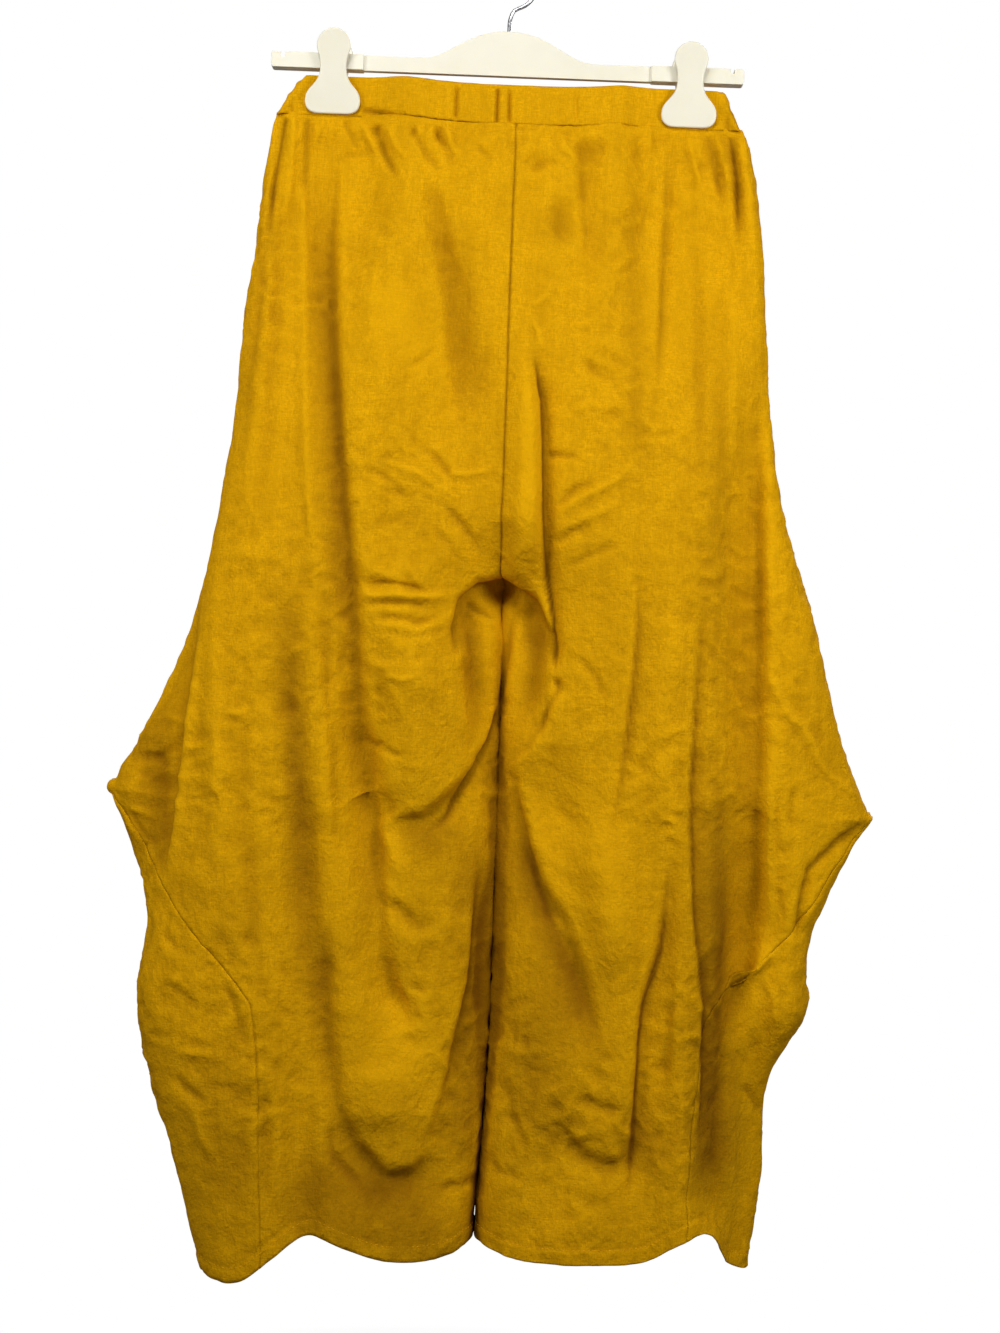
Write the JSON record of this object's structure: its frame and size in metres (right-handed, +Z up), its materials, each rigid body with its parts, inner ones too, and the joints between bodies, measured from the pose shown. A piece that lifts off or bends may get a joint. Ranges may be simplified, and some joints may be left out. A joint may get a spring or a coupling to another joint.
{
  "type": "wide-leg trousers on a clip hanger",
  "caption": "Pull-on wide-leg trousers in linen-look cloth, with pointed side panels and an elastic waist, hanging from a plastic clip hanger.",
  "frame": {"origin": "inside top of the hanger's hook, where a rail carries it", "axes": "+Z up, +X to the right as seen from the front, the front facing -Y"},
  "size_m": [0.5984, 0.1443, 1.0255],
  "materials": {
    "cloth": "matt linen-look plain weave",
    "plastic": "smooth ivory plastic",
    "steel": "bright wire"
  },
  "bodies": {
    "root": {"front_panel_left": "cloth", "back_panel_left": "cloth", "side_panel_left": "cloth", "front_panel_right": "cloth", "back_panel_right": "cloth", "side_panel_right": "cloth", "waistband_front": "cloth", "waistband_back": "cloth", "hanger_bar": "plastic", "clip_front_left": "plastic", "clip_back_left": "plastic", "clip_saddle_left": "plastic", "clip_front_right": "plastic", "clip_back_right": "plastic", "clip_saddle_right": "plastic", "hanger_hook": "steel", "clip_spring_left": "steel", "clip_spring_right": "steel"}
  },
  "joints": []
}
